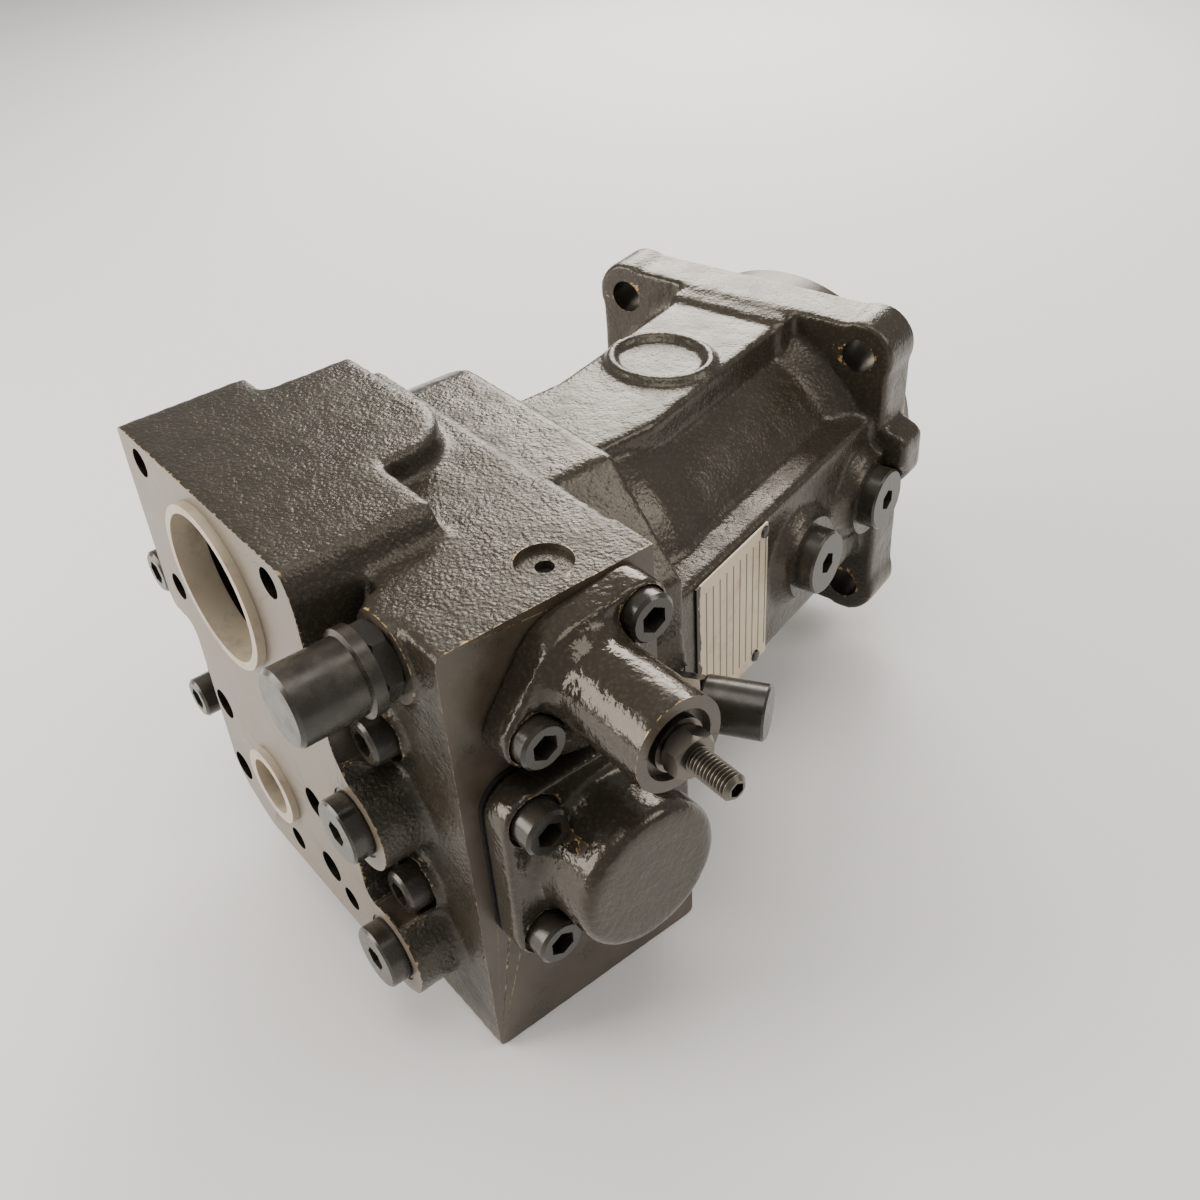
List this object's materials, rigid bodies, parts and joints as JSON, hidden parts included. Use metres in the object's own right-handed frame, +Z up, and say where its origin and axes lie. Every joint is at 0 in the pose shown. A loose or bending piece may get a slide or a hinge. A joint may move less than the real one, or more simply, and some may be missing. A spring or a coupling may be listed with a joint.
{
  "type": "hydraulic pump",
  "caption": "Bent-axis axial piston pump with square mounting flange, turned rear port block, control covers, stop screws under caps and flanged suction and pressure ports.",
  "frame": {"origin": "centre of the mounting flange's face on the shaft axis", "axes": "+Y along the shaft towards its splined end, +Z up with the suction port above the pressure port, +X towards the covers"},
  "size_m": [0.2592, 0.3587, 0.185],
  "materials": {
    "cast_paint": "rough glossy cast paint",
    "machined_face": "machined",
    "steel": "ground",
    "screw_steel": "painted over",
    "cap_plastic": "satin",
    "sleeve_plastic": "translucent",
    "seal_rubber": "matte",
    "plate_foil": "satin"
  },
  "bodies": {
    "pump_case": {"housing": "cast_paint", "port_block": "cast_paint", "joint_screws": "screw_steel", "seal_carrier": "screw_steel", "shaft_seal": "seal_rubber", "retaining_ring": "screw_steel", "bearing_cups": "steel", "control_lens": "steel", "positioning_pin": "steel", "stroking_piston": "steel", "pilot_spool": "steel", "control_spring": "steel", "control_cover": "cast_paint", "stroking_cover": "cast_paint", "stroking_gasket": "seal_rubber", "cover_screws": "screw_steel", "rear_stop_screw": "screw_steel", "rear_stop_nut": "machined_face", "side_stop_screw": "screw_steel", "side_stop_nut": "machined_face", "suction_sleeve": "sleeve_plastic", "pressure_sleeve": "sleeve_plastic", "drain_plugs": "screw_steel", "gauge_plugs": "screw_steel", "top_plug": "cast_paint", "name_plate": "plate_foil", "plate_rivets": "screw_steel"},
    "rotating_group": {"drive_shaft": "steel", "bearing_cones": "steel", "retaining_plate": "steel", "retaining_screws": "screw_steel", "pistons": "steel", "piston_rings": "steel", "cylinder_block": "steel", "centre_pin": "steel", "centre_spring": "steel"},
    "front_cage": {"front_rollers": "steel"},
    "rear_cage": {"rear_rollers": "steel"},
    "seat": {"spring_seat": "steel"},
    "adjuster": {"adjusting_screw": "screw_steel"},
    "washer": {"lock_washer": "screw_steel"},
    "nut": {"lock_nut": "machined_face"},
    "rear_cap": {"rear_cap": "cap_plastic"},
    "side_cap": {"side_cap": "cap_plastic"}
  },
  "joints": [
    {"name": "shaft_spin", "type": "hinge", "parent": "pump_case", "child": "rotating_group", "pos_m": [0, 0, 0], "axis": [0, 1, 0], "continuous": true},
    {"name": "front_cage_spin", "type": "hinge", "parent": "pump_case", "child": "front_cage", "pos_m": [0, -0.0134, 0], "axis": [0, 1, 0], "continuous": true},
    {"name": "rear_cage_spin", "type": "hinge", "parent": "pump_case", "child": "rear_cage", "pos_m": [0, -0.0626, 0], "axis": [0, 1, 0], "continuous": true},
    {"name": "seat_slide", "type": "slide", "parent": "pump_case", "child": "seat", "axis": [0.9659, -0.2588, 0], "range_m": [-0.0025, 0.0025], "deforming": ["control_spring"]},
    {"name": "adjuster_turn", "type": "hinge", "parent": "seat", "child": "adjuster", "pos_m": [0.07421, -0.23772, 0.0653], "axis": [0.9659, -0.2588, 0], "range_deg": [-721, 721]},
    {"name": "washer_lift", "type": "slide", "parent": "pump_case", "child": "washer", "axis": [0.9659, -0.2588, 0], "range_m": [0, 0.00125]},
    {"name": "lock_nut_turn", "type": "hinge", "parent": "washer", "child": "nut", "pos_m": [0.07421, -0.23772, 0.0653], "axis": [0.9659, -0.2588, 0], "range_deg": [0, 361]},
    {"name": "rear_cap_pull", "type": "slide", "parent": "pump_case", "child": "rear_cap", "axis": [-0.2588, -0.9659, 0], "range_m": [0, 0.05]},
    {"name": "side_cap_pull", "type": "slide", "parent": "pump_case", "child": "side_cap", "axis": [0.9511, 0.309, 0], "range_m": [0, 0.05]}
  ],
  "couplings": [
    {"joint": "front_cage_spin", "follows": "shaft_spin", "ratio": 0.44},
    {"joint": "rear_cage_spin", "follows": "shaft_spin", "ratio": 0.45},
    {"joint": "adjuster_turn", "follows": "seat_slide", "rad_per_m": 5026.5},
    {"joint": "lock_nut_turn", "follows": "washer_lift", "rad_per_m": 5026.5}
  ]
}
